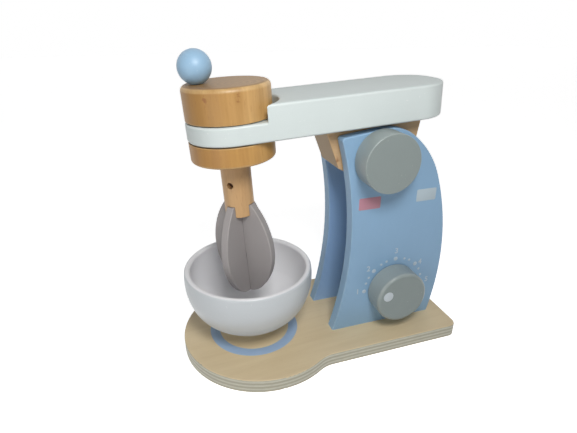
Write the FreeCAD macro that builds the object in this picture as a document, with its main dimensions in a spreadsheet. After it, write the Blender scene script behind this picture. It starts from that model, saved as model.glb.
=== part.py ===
import FreeCAD, Part
import os
import Sketcher

# Toy stand mixer in wood. The arm rocks on an axle between two side panels, a crank ball on the
# head turns the whisk, a dial turns on the near panel and a loose bowl stands on the board.
# X runs from the bowl end to the column end, Z is up and the near panel faces -Y. The origin is
# under the middle of the board. Millimetres and degrees.

SIZES = [
    # clearances
    ("running_gap", 0.08, "radial clearance where a shaft turns in a bore"),
    ("glue_gap", 0.03, "radial clearance where a dowel or screw is fixed in its hole"),
    ("face_gap", 0.1, "clearance between a washer and the face that slides on it"),
    ("end_gap", 0.4, "room left at the blind end of a hole or slot"),
    ("washer_thickness", 0.5, "thickness of every flat washer"),
    # board, measured from the centre of its round end
    ("board_radius", 70, "radius of the round end"),
    ("board_half_width", 57.2, "half width of the straight part"),
    ("board_length", 171.8, "from the round end's centre to the straight end"),
    ("board_thickness", 12.2, "plywood thickness"),
    ("board_corner", 8, "radius of the two rear corners"),
    ("board_neck", 25, "radius of the hollow between round end and sides"),
    ("board_edge", 1.2, "rounding of the edges"),
    # side panels, x from the round end's centre and z from the floor
    ("panel_inner", 18.6, "inner face of a panel from the middle plane"),
    ("panel_thickness", 10.4, "thickness of a panel"),
    ("panel_foot_front", 58.4, "front end of the foot"),
    ("panel_foot_back", 157.1, "back end of the foot"),
    ("panel_front_curve", 305, "radius of the hollow front edge"),
    ("panel_top_front_x", 58.9, "front end of the sloping top edge"),
    ("panel_top_front_z", 187.9, "height of the top edge's front end"),
    ("panel_top_back_x", 107, "back end of the sloping top edge"),
    ("panel_top_back_z", 194.4, "height of the top edge's back end"),
    ("panel_shoulder_curve", 80, "radius of the upper back edge"),
    ("panel_shoulder_x", 148.4, "lower end of the upper back edge"),
    ("panel_shoulder_z", 150.5, "height where the upper back edge ends"),
    ("panel_back_curve", 228.9, "radius of the lower back edge"),
    ("panel_crown", 35, "rounding where top edge and upper back edge meet"),
    ("panel_nose", 2.5, "rounding of the top edge's front end"),
    ("panel_edge", 1.0, "rounding of the edges"),
    # screws up through the board into the panels
    ("screw_front", 78, "front screw of each panel from the round end's centre"),
    ("screw_back", 138, "back screw of each panel from the round end's centre"),
    ("screw_radius", 1.75, "shank"),
    ("screw_head", 3.6, "radius of the countersunk head"),
    ("screw_length", 34, "whole length"),
    ("screw_recess", 0.4, "depth of the head below the wood"),
    ("screw_point", 0.3, "radius of every screw's point"),
    ("screw_taper", 5, "length of every screw's pointed end"),
    ("cross_width", 1.1, "width of the cross cut in every screw head"),
    ("cross_depth", 1.6, "depth of the cross cut in every screw head"),
    # pivot
    ("pivot_x", 93.2, "pivot axis from the round end's centre"),
    ("pivot_z", 170.4, "height of the pivot axis"),
    ("arm_droop", 3.38, "slope of the resting arm, head down, in degrees"),
    ("axle_radius", 5, "pivot axle"),
    ("axle_recess", 0.6, "axle end below the far panel's face"),
    ("axle_bevel", 0.6, "bevel of the axle's ends"),
    ("pivot_washer", 11, "radius of the slip washers beside the hinge block"),
    ("knob_gap", 0.35, "gap between the upper knob and the panel"),
    ("knob_radius", 23.3, "upper knob"),
    ("knob_thickness", 18.8, "upper knob"),
    ("knob_edge", 0.8, "rounding of the upper knob's rims"),
    ("knob_bore", 12, "depth of the axle's hole in the upper knob"),
    # hinge block, from the pivot axis
    ("block_gap", 0.6, "gap from the block to each panel"),
    ("block_top_front", -42, "front end of the top"),
    ("block_top_back", 41.6, "back end of the top"),
    ("block_low_front_x", -31.3, "lower front corner"),
    ("block_low_front_z", -7.5, "height of the lower front corner"),
    ("block_low_back_x", 33.5, "lower back corner"),
    ("block_low_back_z", -10, "height of the lower back corner"),
    ("block_belly", 60, "radius of the rounded underside"),
    ("block_edge", 1.0, "rounding of the edges"),
    ("block_screw_x", 20, "each block screw from the pivot axis"),
    ("block_screw_seat", 0, "height of the block screws' heads"),
    ("block_screw_radius", 2, "shank of a block screw"),
    ("block_screw_head", 4, "radius of a block screw's countersunk head"),
    ("block_screw_room", 4.6, "radius of the hole that sinks a block screw"),
    ("block_screw_length", 38, "whole length of a block screw"),
    ("lock_pin_radius", 1.25, "pin that holds the axle in the block"),
    ("lock_pin_low", -14, "lower end of the lock pin"),
    ("lock_pin_high", 7, "upper end of the lock pin"),
    # arm, from the pivot axis
    ("arm_underside", 25.7, "underside of the arm"),
    ("arm_thickness", 26, "full thickness"),
    ("arm_half_width", 32.4, "half width and radius of the nose"),
    ("arm_tail", 61.8, "tail end"),
    ("arm_tail_corner", 28, "radius of the tail corners"),
    ("arm_edge", 1.8, "rounding of the edges"),
    ("tongue_thickness", 14, "thickness of the nose between the two head discs"),
    ("recess_radius", 40.5, "radius of the hollow around the upper disc"),
    ("recess_shift", -3.8, "centre of the hollow from the head axis"),
    # head
    ("head_axis", -109.8, "head axis from the pivot axis"),
    ("head_radius", 32.1, "radius of both head discs"),
    ("upper_disc_height", 24.6, "height of the upper disc"),
    ("upper_disc_edge", 3.6, "rounding of the upper disc's top rim"),
    ("lower_disc_height", 15.2, "height of the lower disc"),
    ("lower_disc_edge", 2.2, "rounding of the lower disc's bottom rim"),
    ("inner_disc_edge", 0.6, "rounding of the disc rims beside the nose"),
    ("head_washer", 13, "radius of the slip washers above and below the nose"),
    ("spindle_radius", 6, "spindle through discs and nose"),
    ("spindle_socket", 17, "depth of the spindle's hole in the upper disc"),
    ("crank_radius", 19.9, "ball from the head axis"),
    ("crank_angle", 173, "direction of the ball around the head axis"),
    ("ball_radius", 12, "crank ball"),
    ("ball_seat", 11.5, "centre of the ball above the disc"),
    ("ball_peg_radius", 3, "peg between ball and disc"),
    ("ball_peg_depth", 9, "depth of the peg's holes in disc and ball"),
    # whisk
    ("shaft_radius", 11.75, "whisk shaft"),
    ("shaft_length", 46.6, "whisk shaft below the lower disc"),
    ("shaft_socket", 30, "depth of the spindle's hole in the shaft"),
    ("shaft_edge", 0.7, "rounding of the shaft's lower rim"),
    ("slot_depth", 9.4, "depth of the crossed slots in the shaft"),
    ("pin_radius", 2.6, "pin across shaft and spindle"),
    ("pin_drop", 19.7, "pin below the lower disc"),
    ("pin_half_length", 7.4, "half length of the pin"),
    ("pin_turn", 7.5, "direction of the pin from the first blade"),
    ("whisk_turn", -136.5, "direction of the first blade around the head axis"),
    ("blade_thickness", 6.4, "thickness of a blade"),
    ("blade_gap", 0.3, "play of a blade in a slot, on each side"),
    ("blade_half_width", 27.8, "widest half width"),
    ("blade_top_half", 12.8, "half width of the top"),
    ("blade_rise", 41.5, "from the widest place up to the top"),
    ("blade_drop", 40.6, "from the widest place down to the tip"),
    ("blade_nose", 21, "rounding of the tip"),
    ("blade_edge", 0.8, "rounding of the long edges"),
    ("lap_drop", 6.1, "middle of the lap joint below the widest place"),
    ("lap_gap", 2.2, "room left in each slot of the lap joint, past its middle"),
    # dial
    ("dial_x", 114.6, "dial axis from the round end's centre"),
    ("dial_z", 47.6, "height of the dial axis"),
    ("dial_radius", 23.5, "lower knob"),
    ("dial_thickness", 19.4, "lower knob"),
    ("dial_front_edge", 3.2, "rounding of the lower knob's front rim"),
    ("dial_back_edge", 0.8, "rounding of the lower knob's back rim"),
    ("dial_screw_radius", 2.2, "shank of the dial's screw"),
    ("dial_screw_head", 4.2, "radius of the head of the dial's screw"),
    ("dial_screw_height", 2.6, "height of the head of the dial's screw"),
    ("dial_screw_edge", 1.0, "rounding of the head of the dial's screw"),
    ("dial_screw_depth", 14, "reach of the dial's screw into the knob"),
    ("dial_washer", 7.5, "radius of the washers on both sides of the panel"),
    # bowl, heights from the top of the board
    ("bowl_shift", 7.8, "bowl axis from the head axis, towards the column"),
    ("bowl_side", 6.3, "bowl axis from the middle plane"),
    ("bowl_foot", 20.5, "radius of the foot"),
    ("bowl_foot_rim", 1.6, "upright rim of the foot"),
    ("bowl_foot_height", 8, "height of the foot"),
    ("bowl_foot_hollow", 5.5, "radius of the hollow above the foot's rim"),
    ("bowl_waist", 22.5, "radius where foot and wall meet"),
    ("bowl_belly", 51, "radius where lower and upper wall meet"),
    ("bowl_belly_height", 30.8, "height where lower and upper wall meet"),
    ("bowl_low_curve", 40, "curve of the lower wall"),
    ("bowl_high_curve", 56, "curve of the upper wall"),
    ("bowl_rim", 54.8, "outer radius of the rim"),
    ("bowl_height", 62.4, "height of the rim"),
    ("bowl_wall", 5.2, "wall thickness"),
    ("bowl_floor", 5.8, "thickness of the floor above the foot"),
    ("bowl_floor_radius", 20, "flat part of the inside"),
    ("bowl_rim_edge", 2.45, "rounding of the rim"),
]

doc = FreeCAD.newDocument("toy_stand_mixer")
dim = doc.addObject("Spreadsheet::Sheet", "dim")
for row, (alias, size, note) in enumerate(SIZES, start=1):
    dim.set("A%d" % row, note)
    dim.set("B%d" % row, str(size))
    dim.setAlias("B%d" % row, alias)
doc.recompute()

# lengths that follow from the sizes
BOARD_JOIN = "sqrt(dim.board_radius ^ 2 - dim.board_half_width ^ 2)"
PANEL_OUTER = "(dim.panel_inner + dim.panel_thickness)"
PANEL_MIDDLE = "(dim.panel_inner + dim.panel_thickness / 2)"
BLOCK_WIDTH = "(2 * (dim.panel_inner - dim.block_gap))"
WASHER_ROOM = "(dim.washer_thickness + dim.face_gap)"
KNOB_BACK = f"({PANEL_OUTER} + dim.knob_gap)"
DIAL_BACK = f"({PANEL_OUTER} + {WASHER_ROOM})"
AXLE_LOW = f"(dim.axle_recess - {PANEL_OUTER})"
AXLE_HIGH = f"({KNOB_BACK} + dim.knob_bore - dim.end_gap)"
DIAL_SCREW_LENGTH = f"({WASHER_ROOM} + dim.panel_thickness + {WASHER_ROOM} + dim.dial_screw_depth)"
SPINDLE_BORE = "(dim.spindle_radius + dim.running_gap)"
SPINDLE_SOCKET = "(dim.spindle_radius + dim.glue_gap)"
TONGUE_TOP = "(dim.arm_underside + dim.tongue_thickness)"
ARM_TOP = "(dim.arm_underside + dim.arm_thickness)"
UPPER_DISC_LOW = f"({TONGUE_TOP} + {WASHER_ROOM})"
UPPER_DISC_TOP = f"({UPPER_DISC_LOW} + dim.upper_disc_height)"
LOWER_DISC_TOP = f"(dim.arm_underside - {WASHER_ROOM})"
LOWER_DISC_LOW = f"({LOWER_DISC_TOP} - dim.lower_disc_height)"
SPINDLE_LOW = f"({LOWER_DISC_LOW} - dim.shaft_socket + dim.end_gap)"
SPINDLE_HIGH = f"({UPPER_DISC_LOW} + dim.spindle_socket - dim.end_gap)"
SHAFT_LOW = f"({LOWER_DISC_LOW} - dim.shaft_length)"
PIN_HEIGHT = f"({LOWER_DISC_LOW} - dim.pin_drop)"
BLOCK_SCREW_BORE = "(dim.block_screw_radius + dim.glue_gap)"
SLOT_HALF = "(dim.blade_thickness / 2 + dim.blade_gap)"
BLADE_TOP = f"({SHAFT_LOW} + dim.slot_depth - dim.end_gap)"
BLADE_WIDEST = f"({BLADE_TOP} - dim.blade_rise)"
BLADE_TIP = f"({BLADE_WIDEST} - dim.blade_drop)"
BLADE_LAP = f"({BLADE_WIDEST} - dim.lap_drop)"
BOWL_FLOOR = "(dim.bowl_foot_height + dim.bowl_floor)"

ABOUT_X = "1; 0; 0"
ABOUT_Y = "0; 1; 0"
ABOUT_Z = "0; 0; 1"


def move(x="0", y="0", z="0", axis=ABOUT_Z, angle="0"):
    """Expression of a placement: a shift, with a turn about an axis."""
    shift = f"create(<<vector>>; {x}; {y}; {z})"
    turn = f"create(<<rotation>>; create(<<vector>>; {axis}); {angle})"
    return f"create(<<placement>>; {shift}; {turn})"


# frames, as moves that follow one another; STAND starts at the centre of the board's round end
STAND = (move("(dim.board_radius - dim.board_length) / 2"),)
ARM = STAND + (move("dim.pivot_x", "0", "dim.pivot_z", ABOUT_Y, "-dim.arm_droop"),)
HEAD = ARM + (move("dim.head_axis"),)
CRANK = HEAD + (move(angle="dim.crank_angle"),)
WHISK = HEAD + (move(angle="dim.whisk_turn"),)
DIAL = STAND + (move("dim.dial_x", "0", "dim.dial_z"),)

pieces = []


def number(text):
    """What an expression gives with the present sizes."""
    return float(dim.evalExpression(text))


def place(piece, moves):
    """Bind the Placement to moves that follow one another."""
    piece.setExpression("Placement", " * ".join(moves))


def newBody(label, moves):
    """A body that becomes one node."""
    body = doc.addObject("PartDesign::Body", label)
    place(body, moves)
    pieces.append(body)
    return body


def originItem(body, role):
    """One of the body's own origin planes or axes."""
    return [item for item in body.Origin.OriginFeatures if item.Role == role][0]


def newSketch(body, role, lift="0", turn="0"):
    """A sketch on an origin plane, lifted along its normal and turned about its own Y axis."""
    sketch = body.newObject("Sketcher::SketchObject", body.Name + "_sketch")
    sketch.AttachmentSupport = [(originItem(body, role), "")]
    sketch.MapMode = "FlatFace"
    sketch.setExpression("AttachmentOffset", move(z=lift, axis=ABOUT_Y, angle=turn))
    return sketch


def bind(sketch, constraint, text):
    """Add a constraint whose size is an expression."""
    index = sketch.addConstraint(constraint)
    sketch.setExpression(f"Constraints[{index}]", text)


def bindPoint(sketch, item, end, x, y):
    """Fix one point of a sketch item."""
    for kind, text in (("DistanceX", x), ("DistanceY", y)):
        bind(sketch, Sketcher.Constraint(kind, -1, 1, item, end, number(text)), text)


def shortArc(start, stop, radius, side):
    """The short arc between two points, with its centre left (1) or right (-1) of the way."""
    chord = stop - start
    left = FreeCAD.Vector(-chord.y, chord.x, 0).normalize()
    height = (radius ** 2 - (chord.Length / 2) ** 2) ** 0.5
    centre = (start + stop) / 2 + left * height * side
    return Part.Arc(start, centre - left * radius * side, stop)


def drawOutline(sketch, corners):
    """A closed outline of (x, y) corners; (x, y, radius, side) is reached along an arc."""
    spots = [FreeCAD.Vector(number(corner[0]), number(corner[1]), 0) for corner in corners]
    items = []
    for index, corner in enumerate(corners):
        if len(corner) == 2:
            line = Part.LineSegment(spots[index - 1], spots[index])
            items.append(sketch.addGeometry(line, False))
        else:
            radius = number(corner[2])
            arc = shortArc(spots[index - 1], spots[index], radius, corner[3])
            items.append(sketch.addGeometry(arc, False))
            bind(sketch, Sketcher.Constraint("Radius", items[-1], radius), corner[2])
    # a sketch stores every arc counterclockwise, so one drawn the other way ends at its start
    ends = [(1, 2) if len(corner) == 2 or corner[3] > 0 else (2, 1) for corner in corners]
    for index, corner in enumerate(corners):
        after = (index + 1) % len(corners)
        joint = (items[index], ends[index][1], items[after], ends[after][0])
        sketch.addConstraint(Sketcher.Constraint("Coincident", *joint))
        bindPoint(sketch, items[index], ends[index][1], corner[0], corner[1])
    return sketch


def drawRectangle(sketch, halfX, lowY, highY):
    """A rectangle that is centred on the sketch's Y axis."""
    corners = [(f"-{halfX}", lowY), (halfX, lowY), (halfX, highY), (f"-{halfX}", highY)]
    return drawOutline(sketch, corners)


def drawCircles(sketch, radius, centres=(("0", "0"),)):
    """Circles of one radius."""
    for x, y in centres:
        centre = FreeCAD.Vector(number(x), number(y), 0)
        circle = Part.Circle(centre, FreeCAD.Vector(0, 0, 1), number(radius))
        item = sketch.addGeometry(circle, False)
        bind(sketch, Sketcher.Constraint("Radius", item, number(radius)), radius)
        bindPoint(sketch, item, 3, x, y)
    return sketch


def addPad(body, sketch, length, middle=False):
    """Extrude a sketch along its normal, or half to each side."""
    pad = body.newObject("PartDesign::Pad", body.Name + "_pad")
    pad.Profile = sketch
    pad.setExpression("Length", length)
    pad.Midplane = middle
    doc.recompute()


def addPocket(body, sketch, way, depth=None):
    """Cut a sketch back (against its normal), ahead or both ways; without a depth right through."""
    volume = body.Shape.Volume
    pocket = body.newObject("PartDesign::Pocket", body.Name + "_pocket")
    pocket.Profile = sketch
    pocket.Reversed = way == "ahead"
    pocket.Midplane = way == "both"
    if depth is None:
        pocket.Type = "ThroughAll"
    else:
        pocket.setExpression("Length", depth)
    doc.recompute()
    if not body.Shape.Volume < volume:
        raise RuntimeError(pocket.Name + " cuts nothing")


def addTurned(body, corners):
    """Revolve an outline of (radius, height) corners around the body's Z axis."""
    turned = body.newObject("PartDesign::Revolution", body.Name + "_turned")
    turned.Profile = drawOutline(newSketch(body, "XZ_Plane"), corners)
    turned.ReferenceAxis = (originItem(body, "Z_Axis"), [""])
    turned.Angle = 360
    doc.recompute()


def addEdgeWork(body, kind, size, wanted):
    """Round (Fillet, Radius) or bevel (Chamfer, Size) the body's edges that the test wants."""
    base = body.Tip
    names = [f"Edge{index}" for index, edge in enumerate(base.Shape.Edges, start=1) if wanted(edge)]
    if not names:
        raise RuntimeError(body.Name + " has no such edge")
    work = body.newObject(f"PartDesign::{kind}", f"{body.Name}_{kind.lower()}")
    work.Base = (base, names)
    work.setExpression("Radius" if kind == "Fillet" else "Size", size)
    doc.recompute()


def lies(edge, axis, text):
    """True where a whole edge lies at one place along an axis (0 X, 1 Y, 2 Z)."""
    length = edge.LastParameter - edge.FirstParameter
    spots = [edge.valueAt(edge.FirstParameter + length * share) for share in (0, 0.4, 0.8, 1)]
    return all(abs(spot[axis] - number(text)) < 0.01 for spot in spots)


def isCorner(edge, firstAxis, first, secondAxis, second):
    """True for a straight edge at one place along two axes."""
    return lies(edge, firstAxis, first) and lies(edge, secondAxis, second)


def isCircle(edge, height, radius):
    """True for a circle of this radius at this height."""
    flat = lies(edge, 2, height) and isinstance(edge.Curve, Part.Circle)
    return flat and abs(edge.Curve.Radius - number(radius)) < 0.01


def addTube(label, outer, inner, moves):
    """A flat washer that stands on its own XY plane."""
    tube = doc.addObject("Part::Cut", label)
    for role, radius in (("Base", outer), ("Tool", inner)):
        cylinder = doc.addObject("Part::Cylinder", f"{label}_{role.lower()}")
        cylinder.setExpression("Radius", radius)
        cylinder.setExpression("Height", "dim.washer_thickness")
        setattr(tube, role, cylinder)
    place(tube, moves)
    return tube


def addScrew(label, radius, head, length, moves):
    """A countersunk screw that points up from its flat, cross-cut head."""
    neck = f"({head} - {radius})"
    taper = f"({length} - dim.screw_taper)"
    parts = []
    for name, low, high, start, end in (
            ("head", head, radius, "0", neck),
            ("point", radius, "dim.screw_point", taper, length)):
        cone = doc.addObject("Part::Cone", f"{label}_{name}")
        cone.setExpression("Radius1", low)
        cone.setExpression("Radius2", high)
        cone.setExpression("Height", f"{end} - {start}")
        place(cone, [move(z=start)])
        parts.append(cone)
    shank = doc.addObject("Part::Cylinder", label + "_shank")
    shank.setExpression("Radius", radius)
    shank.setExpression("Height", taper)
    parts.append(shank)
    whole = doc.addObject("Part::MultiFuse", label + "_whole")
    whole.Shapes = parts
    bars = []
    for turn in ("0", "90"):
        bar = doc.addObject("Part::Box", f"{label}_bar{turn}")
        bar.setExpression("Length", f"2 * {head}")
        bar.setExpression("Width", "dim.cross_width")
        bar.setExpression("Height", "dim.cross_depth")
        place(bar, [move(angle=turn), move(f"-{head}", "-dim.cross_width / 2")])
        bars.append(bar)
    cross = doc.addObject("Part::MultiFuse", label + "_cross")
    cross.Shapes = bars
    screw = doc.addObject("Part::Cut", label)
    screw.Base = whole
    screw.Tool = cross
    place(screw, moves)
    return screw


def addGroup(label, members, moves):
    """Loose solids that share one node."""
    group = doc.addObject("Part::Compound", label)
    group.Links = members
    place(group, moves)
    pieces.append(group)


def addRod(label, radius, low, high, moves):
    """A plain pin or dowel between two heights of its frame."""
    rod = doc.addObject("Part::Cylinder", label)
    rod.setExpression("Radius", radius)
    rod.setExpression("Height", f"{high} - {low}")
    place(rod, tuple(moves) + (move(z=low),))
    pieces.append(rod)


def roundEnded(tip, join, end, half, radius):
    """Outline with a round end at -X and a straight end at +X."""
    return [
        (tip, "0", radius, 1),
        (join, f"-{half}", radius, 1),
        (end, f"-{half}"),
        (end, half),
        (join, half),
    ]


def makeBoard():
    """Plywood board with a round end for the bowl, a straight part for the column and screw holes."""
    body = newBody("base_board", STAND)
    half = "dim.board_half_width"
    outline = roundEnded("-dim.board_radius", BOARD_JOIN, "dim.board_length", half, "dim.board_radius")
    addPad(body, drawOutline(newSketch(body, "XY_Plane"), outline), "dim.board_thickness")
    for radius, x in (("dim.board_corner", "dim.board_length"), ("dim.board_neck", BOARD_JOIN)):
        addEdgeWork(body, "Fillet", radius, lambda edge: (
            isCorner(edge, 0, x, 1, half) or isCorner(edge, 0, x, 1, f"-{half}")))
    addEdgeWork(body, "Fillet", "dim.board_edge", lambda edge: (
        lies(edge, 2, "0") or lies(edge, 2, "dim.board_thickness")))
    hole = "(dim.screw_radius + dim.glue_gap)"
    addPocket(body, drawCircles(newSketch(body, "XY_Plane"), hole, screwSpots()), "ahead")
    sink = "dim.screw_head - dim.screw_radius + dim.screw_recess"
    addEdgeWork(body, "Chamfer", sink, lambda edge: isCircle(edge, "0", hole))


def screwSpots():
    """Places of the four screws that hold the panels."""
    ends = ("dim.screw_front", "dim.screw_back")
    return [(x, side + PANEL_MIDDLE) for x in ends for side in ("-", "")]


def makePanel(label, outerY, withDial):
    """One side panel, drawn with its inner or outer face on the XZ plane and its body towards -Y."""
    body = newBody(label, STAND + (move(y=outerY),))
    foot = "dim.board_thickness"
    outline = drawOutline(newSketch(body, "XZ_Plane"), [
        ("dim.panel_foot_front", foot, "dim.panel_front_curve", -1),
        ("dim.panel_foot_back", foot),
        ("dim.panel_shoulder_x", "dim.panel_shoulder_z", "dim.panel_back_curve", 1),
        ("dim.panel_top_back_x", "dim.panel_top_back_z", "dim.panel_shoulder_curve", 1),
        ("dim.panel_top_front_x", "dim.panel_top_front_z"),
    ])
    addPad(body, outline, "dim.panel_thickness")
    for radius, end in (("dim.panel_crown", "back"), ("dim.panel_nose", "front")):
        x, z = f"dim.panel_top_{end}_x", f"dim.panel_top_{end}_z"
        addEdgeWork(body, "Fillet", radius, lambda edge: isCorner(edge, 0, x, 2, z))
    addEdgeWork(body, "Fillet", "dim.panel_edge", lambda edge: not lies(edge, 2, foot) and (
        lies(edge, 1, "0") or lies(edge, 1, "-dim.panel_thickness")))
    bores = [("dim.axle_radius", "dim.pivot_x", "dim.pivot_z")]
    if withDial:
        bores.append(("dim.dial_screw_radius", "dim.dial_x", "dim.dial_z"))
    for radius, x, z in bores:
        bore = drawCircles(newSketch(body, "XZ_Plane"), f"{radius} + dim.running_gap", [(x, z)])
        addPocket(body, bore, "ahead")
    spots = [(x, "-dim.panel_thickness / 2") for x in ("dim.screw_front", "dim.screw_back")]
    holes = drawCircles(newSketch(body, "XY_Plane", foot), "dim.screw_radius + dim.glue_gap", spots)
    addPocket(body, holes, "ahead", "dim.screw_recess + dim.screw_length - dim.board_thickness + dim.end_gap")


def makePanelScrews():
    """Four screws from under the board."""
    screws = [addScrew(f"panel_screw_{index}", "dim.screw_radius", "dim.screw_head", "dim.screw_length",
                       [move(x, y, "dim.screw_recess")])
              for index, (x, y) in enumerate(screwSpots())]
    addGroup("panel_screws", screws, STAND)


def makeArm():
    """Long board with a round nose that is cut down to a tongue under the head's upper disc."""
    body = newBody("arm_board", ARM)
    half = "dim.arm_half_width"
    outline = roundEnded(f"dim.head_axis - {half}", "dim.head_axis", "dim.arm_tail", half, half)
    underside = newSketch(body, "XY_Plane", "dim.arm_underside")
    addPad(body, drawOutline(underside, outline), "dim.arm_thickness")
    addEdgeWork(body, "Fillet", "dim.arm_tail_corner", lambda edge: (
        isCorner(edge, 0, "dim.arm_tail", 1, half) or isCorner(edge, 0, "dim.arm_tail", 1, f"-{half}")))
    middle = [("dim.head_axis + dim.recess_shift", "0")]
    hollow = drawCircles(newSketch(body, "XY_Plane", TONGUE_TOP), "dim.recess_radius", middle)
    addPocket(body, hollow, "ahead")
    addEdgeWork(body, "Fillet", "dim.arm_edge", lambda edge: (
        lies(edge, 2, "dim.arm_underside") or lies(edge, 2, ARM_TOP)
        or (lies(edge, 2, TONGUE_TOP) and not isCircle(edge, TONGUE_TOP, "dim.recess_radius"))))
    underside = newSketch(body, "XY_Plane", "dim.arm_underside")
    addPocket(body, drawCircles(underside, SPINDLE_BORE, [("dim.head_axis", "0")]), "ahead")
    underside = newSketch(body, "XY_Plane", "dim.arm_underside")
    holes = drawCircles(underside, BLOCK_SCREW_BORE, blockScrewSpots())
    depth = "dim.block_screw_seat + dim.block_screw_length - dim.arm_underside + dim.end_gap"
    addPocket(body, holes, "ahead", depth)


def blockScrewSpots():
    """Places of the two screws that hold the hinge block under the arm."""
    return [("-dim.block_screw_x", "0"), ("dim.block_screw_x", "0")]


def makeHingeBlock():
    """Beech block under the arm that carries the pivot axle."""
    body = newBody("hinge_block", ARM)
    top = "dim.arm_underside"
    lowFront = ("dim.block_low_front_x", "dim.block_low_front_z")
    lowBack = ("dim.block_low_back_x", "dim.block_low_back_z")
    outline = drawOutline(newSketch(body, "XZ_Plane"), [
        ("dim.block_top_front", top),
        lowFront,
        lowBack + ("dim.block_belly", 1),
        ("dim.block_top_back", top),
    ])
    addPad(body, outline, BLOCK_WIDTH, middle=True)
    addEdgeWork(body, "Fillet", "dim.block_edge", lambda edge: (
        any(isCorner(edge, 0, x, 2, z) for x, z in (lowFront, lowBack))
        or (not lies(edge, 2, top)
            and (lies(edge, 1, f"{BLOCK_WIDTH} / 2") or lies(edge, 1, f"-{BLOCK_WIDTH} / 2")))))
    addPocket(body, drawCircles(newSketch(body, "XZ_Plane"), "dim.axle_radius + dim.glue_gap"), "both")
    seat = "dim.block_screw_seat"
    spots = blockScrewSpots()
    addPocket(body, drawCircles(newSketch(body, "XY_Plane", seat), "dim.block_screw_room", spots), "back")
    addPocket(body, drawCircles(newSketch(body, "XY_Plane", seat), BLOCK_SCREW_BORE, spots), "ahead")
    addEdgeWork(body, "Chamfer", "dim.block_screw_head - dim.block_screw_radius", lambda edge: (
        isCircle(edge, seat, BLOCK_SCREW_BORE)))
    pinHole = drawCircles(
        newSketch(body, "XY_Plane", "dim.lock_pin_high"), "dim.lock_pin_radius + dim.glue_gap")
    addPocket(body, pinHole, "back")


def makeBlockScrews():
    """Two screws from the underside of the hinge block into the arm."""
    screws = [addScrew(f"block_screw_{index}", "dim.block_screw_radius", "dim.block_screw_head",
                       "dim.block_screw_length", [move(x, y, "dim.block_screw_seat")])
              for index, (x, y) in enumerate(blockScrewSpots())]
    addGroup("block_screws", screws, ARM)


def makePivotAxle():
    """Dowel through both panels and the block; its own Z axis points at the upper knob."""
    body = newBody("pivot_axle", ARM + (move(axis=ABOUT_X, angle="90"),))
    circle = drawCircles(newSketch(body, "XY_Plane", AXLE_LOW), "dim.axle_radius")
    addPad(body, circle, f"{AXLE_HIGH} - {AXLE_LOW}")
    addEdgeWork(body, "Chamfer", "dim.axle_bevel", lambda edge: (
        isCircle(edge, AXLE_LOW, "dim.axle_radius") or isCircle(edge, AXLE_HIGH, "dim.axle_radius")))
    hole = drawCircles(newSketch(body, "XZ_Plane"), "dim.lock_pin_radius + dim.glue_gap")
    addPocket(body, hole, "both")


def makeKnob(label, radius, thickness, bore, depth, frontEdge, backEdge, moves):
    """A turned knob with a blind hole in its back; its own Z axis points out of its face."""
    body = newBody(label, moves)
    hole = f"({bore} + dim.glue_gap)"
    addTurned(body, [
        (hole, "0"),
        (radius, "0"),
        (radius, thickness),
        ("0", thickness),
        ("0", depth),
        (hole, depth),
    ])
    addEdgeWork(body, "Fillet", frontEdge, lambda edge: isCircle(edge, thickness, radius))
    addEdgeWork(body, "Fillet", backEdge, lambda edge: isCircle(edge, "0", radius))


def makePivot():
    """Axle, knob, lock pin and slip washers of the arm's pivot."""
    makePivotAxle()
    makeKnob("pivot_knob", "dim.knob_radius", "dim.knob_thickness", "dim.axle_radius", "dim.knob_bore",
             "dim.knob_edge", "dim.knob_edge", ARM + (move(y=f"-{KNOB_BACK}", axis=ABOUT_X, angle="90"),))
    addRod("axle_lock_pin", "dim.lock_pin_radius", "dim.lock_pin_low", "dim.lock_pin_high", ARM)
    hole = "dim.axle_radius + dim.running_gap"
    washers = [
        addTube("pivot_washer_near", "dim.pivot_washer", hole,
                [move(y=f"-{BLOCK_WIDTH} / 2", axis=ABOUT_X, angle="90")]),
        addTube("pivot_washer_far", "dim.pivot_washer", hole,
                [move(y=f"{BLOCK_WIDTH} / 2", axis=ABOUT_X, angle="-90")]),
    ]
    addGroup("pivot_washers", washers, ARM)


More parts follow.
